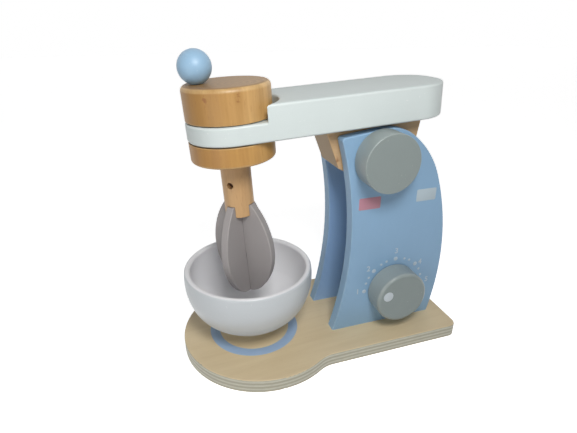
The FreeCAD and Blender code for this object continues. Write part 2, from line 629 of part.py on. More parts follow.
def makeHeadDiscs():
    """The two turned discs above and below the arm's tongue, and the washers between them."""
    upper = newBody("head_upper_disc", CRANK)
    socket = f"({UPPER_DISC_LOW} + dim.spindle_socket)"
    addTurned(upper, [
        (SPINDLE_SOCKET, UPPER_DISC_LOW),
        ("dim.head_radius", UPPER_DISC_LOW),
        ("dim.head_radius", UPPER_DISC_TOP),
        ("0", UPPER_DISC_TOP),
        ("0", socket),
        (SPINDLE_SOCKET, socket),
    ])
    addEdgeWork(upper, "Fillet", "dim.upper_disc_edge", lambda edge: (
        isCircle(edge, UPPER_DISC_TOP, "dim.head_radius")))
    addEdgeWork(upper, "Fillet", "dim.inner_disc_edge", lambda edge: (
        isCircle(edge, UPPER_DISC_LOW, "dim.head_radius")))
    pegHole = drawCircles(newSketch(upper, "XY_Plane", UPPER_DISC_TOP),
                          "dim.ball_peg_radius + dim.glue_gap", [("dim.crank_radius", "0")])
    addPocket(upper, pegHole, "back", "dim.ball_peg_depth")

    lower = newBody("head_lower_disc", HEAD)
    addTurned(lower, [
        (SPINDLE_SOCKET, LOWER_DISC_LOW),
        ("dim.head_radius", LOWER_DISC_LOW),
        ("dim.head_radius", LOWER_DISC_TOP),
        (SPINDLE_SOCKET, LOWER_DISC_TOP),
    ])
    addEdgeWork(lower, "Fillet", "dim.lower_disc_edge", lambda edge: (
        isCircle(edge, LOWER_DISC_LOW, "dim.head_radius")))
    addEdgeWork(lower, "Fillet", "dim.inner_disc_edge", lambda edge: (
        isCircle(edge, LOWER_DISC_TOP, "dim.head_radius")))

    washers = [
        addTube("head_washer_above", "dim.head_washer", SPINDLE_BORE, [move(z=TONGUE_TOP)]),
        addTube("head_washer_below", "dim.head_washer", SPINDLE_BORE,
                [move(z="dim.arm_underside - dim.washer_thickness")]),
    ]
    addGroup("head_washers", washers, HEAD)


def makeCrankBall():
    """Ball handle on a peg near the rim of the upper disc."""
    centre = f"({UPPER_DISC_TOP} + dim.ball_seat)"
    ball = newBody("crank_ball", CRANK + (move("dim.crank_radius", "0", centre),))
    hole = "(dim.ball_peg_radius + dim.glue_gap)"
    inside = "(dim.ball_peg_depth - dim.ball_seat)"
    addTurned(ball, [
        (hole, "-dim.ball_seat"),
        ("sqrt(dim.ball_radius ^ 2 - dim.ball_seat ^ 2)", "-dim.ball_seat"),
        ("0", "dim.ball_radius", "dim.ball_radius", 1),
        ("0", inside),
        (hole, inside),
    ])
    addRod("ball_peg", "dim.ball_peg_radius",
           f"({UPPER_DISC_TOP} - dim.ball_peg_depth + dim.end_gap)",
           f"({UPPER_DISC_TOP} + dim.ball_peg_depth - dim.end_gap)",
           CRANK + (move("dim.crank_radius"),))


def addPinHole(body):
    """Hole for the pin across shaft and spindle."""
    sketch = newSketch(body, "YZ_Plane", turn="dim.pin_turn")
    addPocket(body, drawCircles(sketch, "dim.pin_radius + dim.glue_gap", [("0", PIN_HEIGHT)]), "both")


def makeSpindle():
    """Dowel from the upper disc through the tongue and the lower disc into the whisk shaft."""
    body = newBody("head_spindle", WHISK)
    circle = drawCircles(newSketch(body, "XY_Plane", SPINDLE_LOW), "dim.spindle_radius")
    addPad(body, circle, f"{SPINDLE_HIGH} - {SPINDLE_LOW}")
    addPinHole(body)


def makeShaft():
    """Turned shaft with a socket for the spindle above and crossed slots for the blades below."""
    body = newBody("whisk_shaft", WHISK)
    circle = drawCircles(newSketch(body, "XY_Plane", SHAFT_LOW), "dim.shaft_radius")
    addPad(body, circle, "dim.shaft_length")
    addEdgeWork(body, "Fillet", "dim.shaft_edge", lambda edge: (
        isCircle(edge, SHAFT_LOW, "dim.shaft_radius")))
    socket = drawCircles(newSketch(body, "XY_Plane", LOWER_DISC_LOW), SPINDLE_SOCKET)
    addPocket(body, socket, "back", "dim.shaft_socket")
    reach = "(2 * dim.shaft_radius)"
    for halfX, halfY in ((reach, SLOT_HALF), (SLOT_HALF, reach)):
        slot = drawRectangle(newSketch(body, "XY_Plane", SHAFT_LOW), halfX, f"-{halfY}", halfY)
        addPocket(body, slot, "ahead", "dim.slot_depth")
    addPinHole(body)

    pin = newBody("shaft_pin", WHISK)
    across = newSketch(pin, "YZ_Plane", turn="dim.pin_turn")
    circle = drawCircles(across, "dim.pin_radius", [("0", PIN_HEIGHT)])
    addPad(pin, circle, "2 * dim.pin_half_length", middle=True)


def makeBlade(label, moves, slotLow, slotHigh):
    """One of two boards that lap across each other; the outline is four arcs and a round tip."""
    narrowing = "(dim.blade_half_width - dim.blade_top_half)"
    upperCurve = f"(({narrowing} ^ 2 + dim.blade_rise ^ 2) / 2 / {narrowing})"
    noseDrop = "(dim.blade_drop - dim.blade_nose)"
    lowerCurve = (f"((dim.blade_half_width ^ 2 + {noseDrop} ^ 2 - dim.blade_nose ^ 2)"
                  " / 2 / (dim.blade_half_width - dim.blade_nose))")
    share = f"(dim.blade_nose / ({lowerCurve} - dim.blade_nose))"
    tangentX = f"({share} * ({lowerCurve} - dim.blade_half_width))"
    tangentZ = f"({BLADE_WIDEST} - {noseDrop} - {share} * {noseDrop})"
    body = newBody(label, moves)
    outline = drawOutline(newSketch(body, "XZ_Plane"), [
        ("-dim.blade_top_half", BLADE_TOP),
        ("-dim.blade_half_width", BLADE_WIDEST, upperCurve, 1),
        (f"-{tangentX}", tangentZ, lowerCurve, 1),
        (tangentX, tangentZ, "dim.blade_nose", 1),
        ("dim.blade_half_width", BLADE_WIDEST, lowerCurve, 1),
        ("dim.blade_top_half", BLADE_TOP, upperCurve, 1),
    ])
    addPad(body, outline, "dim.blade_thickness", middle=True)
    face = "dim.blade_thickness / 2"
    addEdgeWork(body, "Fillet", "dim.blade_edge", lambda edge: (
        (lies(edge, 1, face) or lies(edge, 1, f"-{face}")) and not lies(edge, 2, BLADE_TOP)))
    slot = drawRectangle(newSketch(body, "XZ_Plane"), SLOT_HALF, slotLow, slotHigh)
    addPocket(body, slot, "both")


def makeBlades():
    """The first blade is slotted from its top, the second from its tip."""
    makeBlade("whisk_blade_one", WHISK,
              f"({BLADE_LAP} - dim.lap_gap)", f"({BLADE_TOP} + dim.end_gap)")
    makeBlade("whisk_blade_two", WHISK + (move(angle="90"),),
              f"({BLADE_TIP} - dim.end_gap)", f"({BLADE_LAP} + dim.lap_gap)")


def makeDialScrew():
    """Pan head screw from inside the near panel into the lower knob; its Z axis points at the knob."""
    body = newBody("dial_screw", DIAL + (
        move(y=f"{WASHER_ROOM} - dim.panel_inner", axis=ABOUT_X, angle="90"),))
    shank = "dim.dial_screw_radius"
    addTurned(body, [
        ("0", "-dim.dial_screw_height"),
        ("dim.dial_screw_head", "-dim.dial_screw_height"),
        ("dim.dial_screw_head", "0"),
        (shank, "0"),
        (shank, f"{DIAL_SCREW_LENGTH} - dim.screw_taper"),
        ("dim.screw_point", DIAL_SCREW_LENGTH),
        ("0", DIAL_SCREW_LENGTH),
    ])
    addEdgeWork(body, "Fillet", "dim.dial_screw_edge", lambda edge: (
        isCircle(edge, "-dim.dial_screw_height", "dim.dial_screw_head")))
    narrow = "(dim.cross_width / 2)"
    long = "(dim.dial_screw_head - dim.dial_screw_edge)"
    for halfX, halfY in ((long, narrow), (narrow, long)):
        face = newSketch(body, "XY_Plane", "-dim.dial_screw_height")
        addPocket(body, drawRectangle(face, halfX, f"-{halfY}", halfY), "ahead", "dim.cross_depth")


def makeDial():
    """Lower knob, its screw and the washers on both sides of the near panel."""
    makeKnob("dial_knob", "dim.dial_radius", "dim.dial_thickness", "dim.dial_screw_radius",
             "dim.dial_screw_depth + dim.end_gap", "dim.dial_front_edge", "dim.dial_back_edge",
             DIAL + (move(y=f"-{DIAL_BACK}", axis=ABOUT_X, angle="90"),))
    makeDialScrew()
    hole = "dim.dial_screw_radius + dim.running_gap"
    for label, y in (("dial_outer_washer", f"dim.washer_thickness - {DIAL_BACK}"),
                     ("dial_inner_washer", f"{WASHER_ROOM} - dim.panel_inner")):
        washer = addTube(label, "dim.dial_washer", hole, DIAL + (move(y=y, axis=ABOUT_X, angle="90"),))
        pieces.append(washer)


def makeBowl():
    """Loose turned bowl on a low foot."""
    body = newBody("bowl", STAND + (
        move("dim.pivot_x + dim.head_axis + dim.bowl_shift", "dim.bowl_side", "dim.board_thickness"),))
    innerRim = "(dim.bowl_rim - dim.bowl_wall)"
    addTurned(body, [
        ("0", "0"),
        ("dim.bowl_foot", "0"),
        ("dim.bowl_foot", "dim.bowl_foot_rim"),
        ("dim.bowl_waist", "dim.bowl_foot_height", "dim.bowl_foot_hollow", -1),
        ("dim.bowl_belly", "dim.bowl_belly_height", "dim.bowl_low_curve", 1),
        ("dim.bowl_rim", "dim.bowl_height", "dim.bowl_high_curve", 1),
        (innerRim, "dim.bowl_height"),
        ("dim.bowl_belly - dim.bowl_wall", "dim.bowl_belly_height",
         "dim.bowl_high_curve - dim.bowl_wall", -1),
        ("dim.bowl_floor_radius", BOWL_FLOOR, "dim.bowl_low_curve - dim.bowl_wall", -1),
        ("0", BOWL_FLOOR),
    ])
    addEdgeWork(body, "Fillet", "dim.bowl_rim_edge", lambda edge: (
        isCircle(edge, "dim.bowl_height", "dim.bowl_rim") or isCircle(edge, "dim.bowl_height", innerRim)))


def writeParts():
    """Check every object and write one file per piece."""
    doc.recompute()
    for item in doc.Objects:
        if "Invalid" in item.State or "Error" in item.State:
            raise RuntimeError(f"{item.Name} failed: {item.State}")
    for piece in pieces:
        if piece.Shape.isNull() or not piece.Shape.isValid():
            raise RuntimeError(piece.Label + " has no valid shape")
    os.makedirs("parts", exist_ok=True)
    for piece in pieces:
        piece.Shape.exportStep(f"parts/{piece.Label}.step")


makeBoard()
makePanel("dial_side_panel", "-dim.panel_inner", withDial=True)
makePanel("plain_side_panel", PANEL_OUTER, withDial=False)
makePanelScrews()
makeArm()
makeHingeBlock()
makeBlockScrews()
makePivot()
makeHeadDiscs()
makeCrankBall()
makeSpindle()
makeShaft()
makeBlades()
makeDial()
makeBowl()
writeParts()
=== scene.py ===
import math

import bmesh
import bpy
from mathutils import Matrix, Vector


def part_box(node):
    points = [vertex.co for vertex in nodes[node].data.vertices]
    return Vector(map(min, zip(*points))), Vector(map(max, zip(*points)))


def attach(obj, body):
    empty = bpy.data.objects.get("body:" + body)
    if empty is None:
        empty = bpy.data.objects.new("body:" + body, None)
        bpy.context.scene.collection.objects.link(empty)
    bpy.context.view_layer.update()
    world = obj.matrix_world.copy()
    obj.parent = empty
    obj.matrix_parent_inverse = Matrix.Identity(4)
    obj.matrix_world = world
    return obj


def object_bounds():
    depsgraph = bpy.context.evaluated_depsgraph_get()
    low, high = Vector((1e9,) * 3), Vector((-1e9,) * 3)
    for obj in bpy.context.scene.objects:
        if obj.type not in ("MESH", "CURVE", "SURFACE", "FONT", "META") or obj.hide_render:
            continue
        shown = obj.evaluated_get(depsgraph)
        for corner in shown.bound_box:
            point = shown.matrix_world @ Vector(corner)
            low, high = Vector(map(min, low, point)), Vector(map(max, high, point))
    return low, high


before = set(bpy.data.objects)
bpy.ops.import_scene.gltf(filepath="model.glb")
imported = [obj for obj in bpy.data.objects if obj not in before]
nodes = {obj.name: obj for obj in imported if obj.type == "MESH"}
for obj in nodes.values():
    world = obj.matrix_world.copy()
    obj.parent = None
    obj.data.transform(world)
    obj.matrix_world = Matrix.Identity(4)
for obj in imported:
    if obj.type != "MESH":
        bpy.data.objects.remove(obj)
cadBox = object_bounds()
mm = 0.001
print("frame loaded,", len(nodes), "nodes")


def linear(hexText, alpha=1.0):
    # a hex colour as Blender's linear values
    parts = [int(hexText[i:i + 2], 16) / 255 for i in (0, 2, 4)]
    return [c / 12.92 if c <= 0.04045 else ((c + 0.055) / 1.055) ** 2.4 for c in parts] + [alpha]


def middle(node):
    low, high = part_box(node)
    return (low + high) / 2


def setInputs(tree, node, inputs):
    # links or sets the inputs of a node
    for key, value in inputs.items():
        if isinstance(value, bpy.types.NodeSocket):
            tree.links.new(value, node.inputs[key])
        else:
            node.inputs[key].default_value = value


def put(tree, kind, inputs=None, outlet=0, **settings):
    # adds a node with its settings and inputs and gives back one of its outputs
    node = tree.nodes.new("ShaderNode" + kind)
    for name, value in settings.items():
        setattr(node, name, value)
    setInputs(tree, node, inputs or {})
    return node.outputs[outlet]


def calc(tree, operation, a, b=0.0, clamp=False):
    # one step of arithmetic
    return put(tree, "Math", {0: a, 1: b}, operation=operation, use_clamp=clamp)


def swing(tree, value, amount):
    # a value between 0 and 1 made to sway about zero
    return calc(tree, "MULTIPLY", calc(tree, "SUBTRACT", value, 0.5), amount)


def soften(tree, value, low, high, toLow=0.0, toHigh=1.0):
    # smooth step from low to high
    return put(tree, "MapRange", {0: value, 1: low, 2: high, 3: toLow, 4: toHigh},
               interpolation_type="SMOOTHSTEP")


def mixColors(tree, factor, a, b):
    return put(tree, "Mix", {0: factor, 6: a, 7: b}, outlet=2, data_type="RGBA")


def stretch(tree, vector, scale):
    # a small scale draws the pattern out along that axis
    return put(tree, "VectorMath", {0: vector, 1: scale}, operation="MULTIPLY")


def noise(tree, vector, scale, detail=2.0, rough=0.5):
    return put(tree, "TexNoise", {"Vector": vector, "Scale": scale, "Detail": detail,
                                  "Roughness": rough})


def newGroup(name, inputs, outputs):
    # an empty shader group with named sockets
    kinds = {3: "NodeSocketVector", 4: "NodeSocketColor", 1: "NodeSocketFloat"}
    tree = bpy.data.node_groups.new(name, "ShaderNodeTree")
    for label, value in inputs.items():
        size = len(value) if isinstance(value, (list, tuple)) else 1
        socket = tree.interface.new_socket(label, in_out="INPUT", socket_type=kinds[size])
        socket.default_value = value
    for label, size in outputs.items():
        tree.interface.new_socket(label, in_out="OUTPUT", socket_type=kinds[size])
    return tree, tree.nodes.new("NodeGroupInput").outputs, tree.nodes.new("NodeGroupOutput").inputs


def useGroup(tree, group, inputs):
    node = tree.nodes.new("ShaderNodeGroup")
    node.node_tree = group
    setInputs(tree, node, inputs)
    return node.outputs


def makeFacing():
    # how far a surface faces along an axis, and the rounded rim between face and side
    tree, given, made = newGroup("facing", {"Normal": (0, 0, 1), "Axis": (0, 0, 1)},
                                 {"Along": 1, "Rim": 1})
    dot = put(tree, "VectorMath", {0: given["Normal"], 1: given["Axis"]}, outlet=1,
              operation="DOT_PRODUCT")
    along = calc(tree, "ABSOLUTE", dot)
    tree.links.new(along, made["Along"])
    rim = calc(tree, "MULTIPLY", soften(tree, along, 0.04, 0.3),
               soften(tree, along, 0.8, 0.985, 1, 0))
    tree.links.new(rim, made["Rim"])
    return tree


# repeats in a metre, and how much some of them shade the wood
woodPattern = {"waver": 26, "bend": 7 * mm, "fibre": 1500, "fibreShade": 0.3, "streak": 150,
               "cloud": 48, "dash": 950, "pore": 2300, "poreShade": 0.5, "endShade": 0.55,
               "endRoughness": 0.14}


def makeWoodFigure():
    # growth rings, fibres, flecks and end grain; the grain runs along X
    tree, given, made = newGroup(
        "woodFigure",
        {"Position": (0, 0, 0), "Pale": (0.6, 0.4, 0.2, 1), "Deep": (0.4, 0.25, 0.1, 1),
         "End Tone": (0.3, 0.2, 0.1, 1), "Fleck Tone": (0.3, 0.15, 0.05, 1), "Rings": 300.0,
         "Ring Depth": 0.35, "Streaks": 0.8, "Clouds": 0.6, "Flecks": 0.5, "End Grain": 0.0},
        {"Color": 4, "Roughness": 1, "Height": 1})
    position = given["Position"]
    along = stretch(tree, position, (0.055, 1, 1))
    waver = noise(tree, stretch(tree, position, (0.3, 1, 1)), woodPattern["waver"])
    across = put(tree, "VectorMath", {0: stretch(tree, position, (0, 1, 1))}, outlet=1,
                 operation="LENGTH")
    bent = calc(tree, "ADD", across, swing(tree, waver, woodPattern["bend"]))
    phase = calc(tree, "FRACT", calc(tree, "MULTIPLY", bent, given["Rings"]))
    late = calc(tree, "MULTIPLY", soften(tree, phase, 0.1, 0.85),
                soften(tree, phase, 0.86, 1.0, 1, 0))
    fibre = noise(tree, along, woodPattern["fibre"], 3, 0.6)
    streak = noise(tree, along, woodPattern["streak"], 3, 0.55)
    tone = calc(tree, "MULTIPLY", late, given["Ring Depth"])
    tone = calc(tree, "ADD", tone, calc(
        tree, "MULTIPLY", soften(tree, streak, 0.3, 0.72), given["Streaks"]))
    cloud = noise(tree, stretch(tree, position, (0.4, 1, 1)), woodPattern["cloud"])
    tone = calc(tree, "ADD", tone, swing(tree, cloud, given["Clouds"]))
    tone = calc(tree, "ADD", tone, swing(tree, fibre, woodPattern["fibreShade"]), clamp=True)
    color = mixColors(tree, tone, given["Pale"], given["Deep"])
    dashes = noise(tree, stretch(tree, position, (0.16, 1, 1)), woodPattern["dash"], 1)
    fleck = calc(tree, "MULTIPLY", soften(tree, dashes, 0.63, 0.74), given["Flecks"])
    color = mixColors(tree, fleck, color, given["Fleck Tone"])
    pores = noise(tree, position, woodPattern["pore"], 2, 0.6)
    ends = calc(tree, "ADD", calc(tree, "MULTIPLY", late, 0.35),
                soften(tree, pores, 0.35, 0.7, 0, woodPattern["poreShade"]))
    cut = mixColors(tree, ends, given["Pale"], given["End Tone"])
    cut = mixColors(tree, woodPattern["endShade"], cut, given["End Tone"])
    color = mixColors(tree, given["End Grain"], color, cut)
    tree.links.new(color, made["Color"])
    rough = calc(tree, "ADD", soften(tree, fibre, 0.2, 0.8, 0.52, 0.4),
                 calc(tree, "MULTIPLY", given["End Grain"], woodPattern["endRoughness"]))
    tree.links.new(rough, made["Roughness"])
    height = calc(tree, "ADD", calc(tree, "MULTIPLY", fibre, 0.6),
                  calc(tree, "MULTIPLY", late, 0.25))
    height = calc(tree, "SUBTRACT", height, calc(tree, "MULTIPLY", fleck, 0.5))
    height = calc(tree, "SUBTRACT", height, calc(tree, "MULTIPLY", calc(
        tree, "MULTIPLY", pores, given["End Grain"]), 0.7))
    tree.links.new(height, made["Height"])
    return tree


# repeats in a metre, how far the plies wave, and how dark the glue lines are
plyPattern = {"wobble": 60, "wave": 0.7 * mm, "pore": 2100, "thread": 1900, "glueShade": 0.45}


def makePlyLayers():
    # the stack of veneers on a board's edge, counted up from Bottom
    tree, given, made = newGroup(
        "plyLayers",
        {"Position": (0, 0, 0), "Bottom": 0.0, "Ply": 0.0017, "Long Grain": (0.6, 0.5, 0.4, 1),
         "Cross Grain": (0.4, 0.3, 0.2, 1), "Glue": (0.2, 0.15, 0.1, 1)},
        {"Color": 4, "Roughness": 1, "Height": 1})
    position = given["Position"]
    height = put(tree, "SeparateXYZ", {0: position}, outlet=2)
    wobble = swing(tree, noise(tree, position, plyPattern["wobble"]), plyPattern["wave"])
    level = calc(tree, "ADD", calc(tree, "SUBTRACT", height, given["Bottom"]), wobble)
    count = calc(tree, "DIVIDE", level, given["Ply"])
    inside = calc(tree, "FRACT", count)
    cross = soften(tree, calc(tree, "PINGPONG", count, 1.0), 0.42, 0.58)
    joint = calc(tree, "ABSOLUTE", calc(tree, "SUBTRACT", inside, 0.5))
    glue = soften(tree, joint, 0.05, 0.0)
    pores = noise(tree, position, plyPattern["pore"], 2, 0.6)
    threads = noise(tree, stretch(tree, position, (0.15, 0.15, 1)), plyPattern["thread"], 3)
    longTone = mixColors(tree, soften(tree, threads, 0.35, 0.7, 0, 0.4), given["Long Grain"],
                         given["Cross Grain"])
    crossTone = mixColors(tree, soften(tree, pores, 0.4, 0.7, 0, 0.45), given["Cross Grain"],
                          given["Glue"])
    color = mixColors(tree, cross, longTone, crossTone)
    color = mixColors(tree, calc(tree, "MULTIPLY", glue, plyPattern["glueShade"]), color,
                      given["Glue"])
    tree.links.new(color, made["Color"])
    tree.links.new(soften(tree, cross, 0, 1, 0.5, 0.66), made["Roughness"])
    relief = calc(tree, "SUBTRACT", calc(tree, "MULTIPLY", threads, 0.4), calc(
        tree, "MULTIPLY", cross, calc(tree, "MULTIPLY", pores, 0.8)))
    relief = calc(tree, "SUBTRACT", relief, calc(tree, "MULTIPLY", glue, 0.5))
    tree.links.new(relief, made["Height"])
    return tree


# repeats in a metre, and how much some of them change the paint
paintPattern = {"cloud": 34, "grain": 1000, "grainGloss": 0.16, "line": 260, "lineShade": 0.05,
                "peel": 1700, "peelShade": 0.02, "speck": 620, "speckShade": 0.35}


def makePaintCoat():
    # satin paint over wood: soft clouds, grain that shows through, lighter rims that are partly
    # wear and partly a painted highlight
    tree, given, made = newGroup(
        "paintCoat",
        {"Position": (0, 0, 0), "Rim": 0.0, "Paint": (0.5, 0.5, 0.5, 1),
         "Rubbed And Sheen": (0.7, 0.7, 0.7, 1), "Clouds": 0.05, "Grain": 0.5, "Gloss": 0.45},
        {"Color": 4, "Roughness": 1, "Height": 1})
    position = given["Position"]
    clouds = noise(tree, position, paintPattern["cloud"], 3, 0.55)
    grain = noise(tree, stretch(tree, position, (0.05, 1, 1)), paintPattern["grain"], 4, 0.6)
    lines = noise(tree, stretch(tree, position, (0.03, 1, 1)), paintPattern["line"])
    peel = noise(tree, position, paintPattern["peel"])
    shade = swing(tree, clouds, given["Clouds"])
    lineShade = calc(tree, "MULTIPLY", given["Grain"], paintPattern["lineShade"])
    shade = calc(tree, "ADD", shade, swing(tree, lines, lineShade))
    shade = calc(tree, "ADD", swing(tree, peel, paintPattern["peelShade"]), calc(
        tree, "ADD", shade, 1.0))
    color = put(tree, "VectorMath", {0: given["Paint"], 3: shade}, operation="SCALE")
    # lighter rims: part wear, part painted highlight on the rounded edges
    rubbedAndSheen = calc(tree, "MULTIPLY", given["Rim"], soften(tree, clouds, 0.35, 0.7, 0.25, 0.8))
    color = mixColors(tree, rubbedAndSheen, color, given["Rubbed And Sheen"])
    specks = soften(tree, noise(tree, position, paintPattern["speck"], 0), 0.79, 0.84, 0,
                    paintPattern["speckShade"])
    color = mixColors(tree, specks, color, given["Rubbed And Sheen"])
    tree.links.new(color, made["Color"])
    rough = calc(tree, "ADD", given["Gloss"], swing(tree, grain, paintPattern["grainGloss"]))
    rough = calc(tree, "SUBTRACT", rough, calc(tree, "MULTIPLY", rubbedAndSheen, 0.06))
    tree.links.new(rough, made["Roughness"])
    relief = calc(tree, "ADD", calc(tree, "MULTIPLY", grain, given["Grain"]), calc(
        tree, "MULTIPLY", peel, 0.3))
    tree.links.new(relief, made["Height"])
    return tree


facing = makeFacing()
woodFigure = makeWoodFigure()
plyLayers = makePlyLayers()
paintCoat = makePaintCoat()
print("shared effects made")

finish = {"bump": 0.6, "waxRoughness": 0.3}


def startMaterial(name, centre=(0, 0, 0), turn=(0, 0, 0)):
    # a new material with its Principled shader and the place of its pattern
    material = bpy.data.materials.new(name)
    material.use_nodes = True
    tree = material.node_tree
    shader = tree.nodes["Principled BSDF"]
    source = tree.nodes.new("ShaderNodeTexCoord")
    turned = put(tree, "Mapping", {"Vector": source.outputs["Object"], "Location": centre,
                                   "Rotation": [math.radians(a) for a in turn]},
                 vector_type="TEXTURE")
    return material, tree, shader, source, turned


def finishMaterial(tree, shader, color, roughness, height, relief):
    bump = put(tree, "Bump", {"Height": height, "Distance": relief, "Strength": finish["bump"]})
    setInputs(tree, shader, {"Base Color": color, "Roughness": roughness, "Normal": bump})


def waxMaterial(shader, wax):
    shader.inputs["Coat Weight"].default_value = wax
    shader.inputs["Coat Roughness"].default_value = finish["waxRoughness"]


def woodInputs(look):
    # the socket values of the wood figure
    return {"Deep": linear(look["deep"]), "End Tone": linear(look["endTone"]),
            "Fleck Tone": linear(look["fleckTone"]), "Rings": look["rings"],
            "Ring Depth": look["ringDepth"], "Streaks": look["streaks"], "Flecks": look["flecks"]}


knots = {"squash": 0.5, "scale": 420, "ragged": 0.9 * mm, "strength": 0.75}


def woodMaterial(name, look):
    material, tree, shader, source, turned = startMaterial(name, look["centre"], look["turn"])
    faced = useGroup(tree, facing, {"Normal": source.outputs["Normal"], "Axis": look["axis"]})
    pale = linear(look["pale"])
    if look["far"]:     # painted light: a paler tone towards +X, for the side that gets more light
        along = put(tree, "SeparateXYZ", {0: source.outputs["Object"]}, outlet=0)
        pale = mixColors(tree, soften(tree, along, *look["paintedLightSweep"]), pale, linear(look["far"]))
    if look["wearAndSheen"]:    # lighter rims: wear, and a painted highlight on the rounded rims
        wearAndSheen = calc(tree, "MULTIPLY", faced["Rim"], look["wearAndSheen"])
        pale = mixColors(tree, wearAndSheen, pale, linear(look["wearAndSheenTone"]))
    figure = useGroup(tree, woodFigure, dict(
        woodInputs(look), Position=turned, Pale=pale,
        **{"End Grain": soften(tree, faced["Along"], 0.75, 0.97)}))
    color = figure["Color"]
    for place, radius in look["knots"]:     # drawn out upwards
        drawn = stretch(tree, source.outputs["Object"], (1, 1, knots["squash"]))
        x, y, z = [v * mm for v in place]
        away = put(tree, "VectorMath", {0: drawn, 1: (x, y, z * knots["squash"])}, outlet=1,
                   operation="DISTANCE")
        edge = knots["ragged"]
        ragged = calc(tree, "ADD", away, soften(
            tree, noise(tree, turned, knots["scale"]), 0.3, 0.7, -edge, edge))
        spot = soften(tree, ragged, -0.2 * radius * mm, radius * mm, knots["strength"], 0)
        color = mixColors(tree, spot, color, linear(look["fleckTone"]))
    finishMaterial(tree, shader, color, figure["Roughness"], figure["Height"], look["relief"])
    waxMaterial(shader, look["wax"])
    return material


def paintInputs(look):
    # the socket values of the paint coat
    return {"Rubbed And Sheen": linear(look["rubbedAndSheen"]), "Clouds": look["clouds"], "Grain": look["grain"],
            "Gloss": look["roughness"]}


def paintMaterial(name, look):
    material, tree, shader, source, turned = startMaterial(name, look["centre"], look["turn"])
    faced = useGroup(tree, facing, {"Normal": source.outputs["Normal"], "Axis": look["axis"]})
    paint = linear(look["paint"])
    if "side" in look:      # painted light: the edges and sides lighter than the faces, for light falling on them
        onFace = soften(tree, faced["Along"], 0.3, 0.8)
        paint = mixColors(tree, onFace, linear(look["side"]), paint)
    coat = useGroup(tree, paintCoat, dict(
        paintInputs(look), Position=turned, Paint=paint,
        Rim=calc(tree, "MULTIPLY", faced["Rim"], look["rubAndSheen"])))
    finishMaterial(tree, shader, coat["Color"], coat["Roughness"], coat["Height"], look["relief"])
    return material


def dress(material, *names):
    for name in names:
        for slot in nodes[name].material_slots:
            slot.material = material


board = {
    "veneer": {"pale": "e4d0aa", "deep": "d2ba90", "endTone": "a08560", "fleckTone": "c4a578",
               "rings": 42, "ringDepth": 0.1, "streaks": 0.3, "flecks": 0.12,
               "relief": 0.00004, "wax": 0.1},
    "pith": (0.02, -0.05, -0.075),      # the veneer's arcs curve about this line
    "grainTurn": (0, 0, 3),
    "plies": 7,
    "longGrain": "cbc9b9",
    "crossGrain": "b0ab98",
    "glue": "a6a18c",
}


def makeBoardMaterial():
    low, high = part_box("base_board")
    look = board["veneer"]
    material, tree, shader, source, turned = startMaterial("plywood", board["pith"],
                                                           board["grainTurn"])
    faced = useGroup(tree, facing, {"Normal": source.outputs["Normal"], "Axis": (0, 0, 1)})
    face = useGroup(tree, woodFigure, dict(woodInputs(look), Position=turned,
                                           Pale=linear(look["pale"])))
    edge = useGroup(tree, plyLayers, {
        "Position": source.outputs["Object"], "Bottom": low.z,
        "Ply": (high.z - low.z) / board["plies"], "Long Grain": linear(board["longGrain"]),
        "Cross Grain": linear(board["crossGrain"]), "Glue": linear(board["glue"])})
    onFace = soften(tree, faced["Along"], 0.45, 0.8)
    color = mixColors(tree, onFace, edge["Color"], face["Color"])
    rough = put(tree, "Mix", {0: onFace, 2: edge["Roughness"], 3: face["Roughness"]})
    height = put(tree, "Mix", {0: onFace, 2: edge["Height"], 3: face["Height"]})
    finishMaterial(tree, shader, color, rough, height, look["relief"])
    waxMaterial(shader, look["wax"])
    return material


dress(makeBoardMaterial(), "base_board")

# inside: painted light, a paler tone inside the bowl and on its rim
bowlPaint = {"paint": "cdd2d5", "inside": "f4f4f6", "rubbedAndSheen": "e2e5e8", "clouds": 0.04,
             "grain": 0.1, "roughness": 0.36, "relief": 0.000015}


def makeBowlMaterial():
    # painted light: paler inside and on the rim than outside, for light falling into the bowl and
    # the rim's highlight
    material, tree, shader, source, turned = startMaterial("bowlGrey", middle("bowl"))
    coat = useGroup(tree, paintCoat, dict(paintInputs(bowlPaint), Position=turned,
                                          Paint=linear(bowlPaint["paint"])))
    outward = put(tree, "VectorMath", {0: stretch(tree, turned, (1, 1, 0))}, operation="NORMALIZE")
    normal = source.outputs["Normal"]
    away = put(tree, "VectorMath", {0: normal, 1: outward}, outlet=1, operation="DOT_PRODUCT")
    paintedLightInside = calc(tree, "SUBTRACT", put(tree, "SeparateXYZ", {0: normal}, outlet=2), away)
    color = mixColors(tree, soften(tree, paintedLightInside, -0.3, 0.5), coat["Color"],
                      linear(bowlPaint["inside"]))
    finishMaterial(tree, shader, color, coat["Roughness"], coat["Height"], bowlPaint["relief"])
    return material


dress(makeBowlMaterial(), "bowl")

